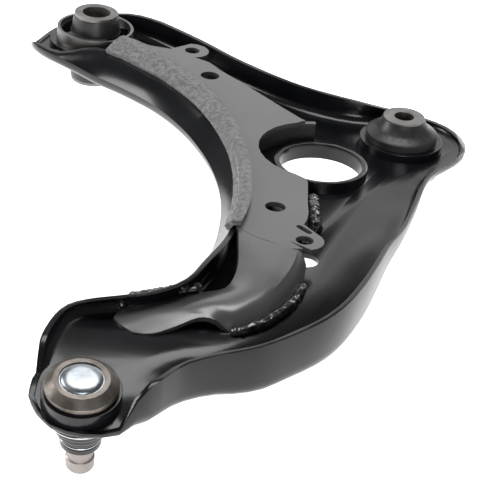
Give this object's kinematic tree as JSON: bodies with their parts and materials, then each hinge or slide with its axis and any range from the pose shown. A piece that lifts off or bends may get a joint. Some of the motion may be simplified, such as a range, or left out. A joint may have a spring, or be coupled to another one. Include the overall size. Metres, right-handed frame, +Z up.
{
  "type": "control arm",
  "caption": "Pressed-steel lower control arm with two upright rubber bushes and a ball joint whose stud turns and leans.",
  "frame": {"origin": "middle of the front bush's bore, level with the middle of the shell's floor sheet", "axes": "+Z up along the front bush's bore, +X from the rear bush to the front bush, -Y outboard to the ball joint"},
  "size_m": [0.3414, 0.4144, 0.0812],
  "materials": {
    "coated_steel": "semi-gloss black dip coat",
    "coated_plate": "semi-gloss black dip coat, brighter where it reflects",
    "coated_weld": "rough coated weld",
    "bare_sleeve": "turned, bare grey",
    "housing_steel": "turned, bare brownish grey",
    "zinc_cap": "bright zinc plate",
    "spring_steel": "bright wire",
    "stud_steel": "smooth, slightly pink grey",
    "bush_rubber": "satin black rubber",
    "boot_rubber": "satin black rubber",
    "bearing_plastic": "natural acetal",
    "foot_plastic": "black, slightly glossy"
  },
  "bodies": {
    "arm": {"lower_shell": "coated_steel", "upper_plate": "coated_plate", "concave_edge_weld": "coated_weld", "inner_side_weld": "coated_weld", "outer_side_weld": "coated_weld", "tip_weld": "coated_weld", "front_housing_ring": "coated_steel", "front_outer_sleeve": "coated_steel", "front_rubber": "bush_rubber", "rear_seat_ring": "coated_steel", "rear_outer_sleeve": "bare_sleeve", "rear_rubber": "bush_rubber", "ball_seat_ring": "coated_steel", "ball_housing": "housing_steel", "end_cap": "zinc_cap", "preload_spring": "spring_steel", "lower_bearing": "bearing_plastic"},
    "front_pivot": {"front_inner_sleeve": "bare_sleeve"},
    "rear_pivot": {"rear_inner_sleeve": "bare_sleeve"},
    "boot": {"upper_bearing": "bearing_plastic", "dust_boot": "boot_rubber", "boot_top_clip": "spring_steel"},
    "boot_foot": {"boot_foot_ring": "foot_plastic", "boot_foot_clip": "spring_steel"},
    "stud": {"ball_stud": "stud_steel"}
  },
  "joints": [
    {"name": "front_bush_twist", "type": "hinge", "parent": "arm", "child": "front_pivot", "pos_m": [0, 0, 0], "axis": [1, 0, 0], "range_deg": [-10, 10], "stiffness_Nm_per_rad": 60, "deforming": ["front_rubber"]},
    {"name": "rear_bush_twist", "type": "hinge", "parent": "arm", "child": "rear_pivot", "pos_m": [-0.23, 0, 0.0007], "axis": [1, 0, 0], "range_deg": [-10, 10], "stiffness_Nm_per_rad": 60, "deforming": ["rear_rubber"]},
    {"name": "boot_turn", "type": "hinge", "parent": "arm", "child": "boot", "pos_m": [-0.0015, -0.351, -0.0095], "axis": [0.0908, -0.2039, 0.9748], "continuous": true},
    {"name": "stud_lean", "type": "hinge", "parent": "boot", "child": "boot_foot", "pos_m": [-0.0015, -0.351, -0.0095], "axis": [0.9135, 0.4067, 0], "range_deg": [-22, 22], "deforming": ["dust_boot"]},
    {"name": "stud_turn", "type": "hinge", "parent": "boot_foot", "child": "stud", "pos_m": [-0.0015, -0.351, -0.0095], "axis": [0.0908, -0.2039, 0.9748], "continuous": true}
  ]
}
